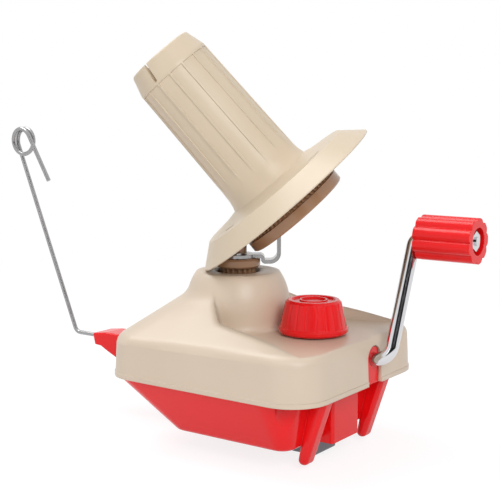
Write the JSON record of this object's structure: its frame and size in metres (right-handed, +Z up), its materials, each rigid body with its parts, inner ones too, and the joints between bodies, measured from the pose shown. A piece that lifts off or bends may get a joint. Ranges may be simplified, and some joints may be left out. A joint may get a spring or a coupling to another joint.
{
  "type": "yarn ball winder",
  "caption": "Hand-cranked yarn ball winder: a tilted ribbed spool on a geared swinging arm, a red and cream housing with a table clamp, a crank and a wire yarn guide.",
  "frame": {"origin": "where the centre post's axis meets the table top, on the housing's flat underside", "axes": "+Z up, +X towards the crank end, +Y to the side"},
  "size_m": [0.2584, 0.1119, 0.191],
  "materials": {
    "cover_plastic": "moulded, semi-matt, warm cream",
    "red_plastic": "moulded, glossy red",
    "brown_plastic": "moulded gear plastic, satin brown",
    "chrome": "chromed steel rod",
    "steel": "zinc-plated steel",
    "wire": "drawn steel wire",
    "bush_plastic": "natural bearing plastic"
  },
  "bodies": {
    "housing": {"base": "red_plastic", "top_cover": "cover_plastic", "cover_screws": "steel", "guide_arm": "red_plastic", "guide_arm_screws": "steel", "centre_post": "steel", "hub_washer": "steel", "sun_pinion": "brown_plastic", "sun_nut": "steel", "crank_bushes": "bush_plastic", "knob_washer": "steel"},
    "yarn_guide": {"yarn_guide": "wire"},
    "crank": {"crank_rod": "chrome", "crown_wheel": "bush_plastic", "crank_pin": "steel", "crank_washer": "steel", "crank_clip": "steel", "grip_washer": "steel", "grip_nut": "chrome"},
    "grip": {"crank_grip": "red_plastic"},
    "arm": {"drive_hub": "brown_plastic", "spool_arm": "steel", "arm_screws": "steel", "spool_spindle": "steel", "spindle_washers": "steel", "spindle_clip": "steel"},
    "spool": {"spool": "cover_plastic", "ring_gear": "brown_plastic", "ring_screws": "steel", "spool_bush": "bush_plastic"},
    "knob": {"clamp_knob": "red_plastic", "clamp_screw": "steel"},
    "jaw": {"clamp_jaw": "steel", "jaw_nut": "steel"}
  },
  "joints": [
    {"name": "crank_turn", "type": "hinge", "parent": "housing", "child": "crank", "pos_m": [0.0666, 0.007, 0.0351], "axis": [1, 0, 0], "continuous": true},
    {"name": "grip_turn", "type": "hinge", "parent": "crank", "child": "grip", "pos_m": [0.0826, 0.02938, 0.08861], "axis": [1, 0, 0], "continuous": true},
    {"name": "arm_swing", "type": "hinge", "parent": "housing", "child": "arm", "pos_m": [0, 0, 0.0675], "axis": [0, 0, 1], "continuous": true},
    {"name": "spool_spin", "type": "hinge", "parent": "arm", "child": "spool", "pos_m": [0, 0, 0.12903], "axis": [-0.5356, -0.3793, 0.7545], "continuous": true},
    {"name": "clamp_knob_turn", "type": "hinge", "parent": "housing", "child": "knob", "pos_m": [0.0425, 0, 0.0453], "axis": [0, 0, 1], "range_deg": [-1262, 5762]},
    {"name": "jaw_slide", "type": "slide", "parent": "housing", "child": "jaw", "axis": [0, 0, 1], "range_m": [-0.016, 0.0035]},
    {"name": "guide_fold", "type": "hinge", "parent": "housing", "child": "yarn_guide", "pos_m": [-0.089, 0, 0.027], "axis": [1, 0, 0], "range_deg": [-90, 90]}
  ],
  "couplings": [
    {"joint": "arm_swing", "follows": "crank_turn", "ratio": -3.3333},
    {"joint": "spool_spin", "follows": "crank_turn", "ratio": -0.72222},
    {"joint": "clamp_knob_turn", "follows": "jaw_slide", "rad_per_m": -6283.2}
  ]
}
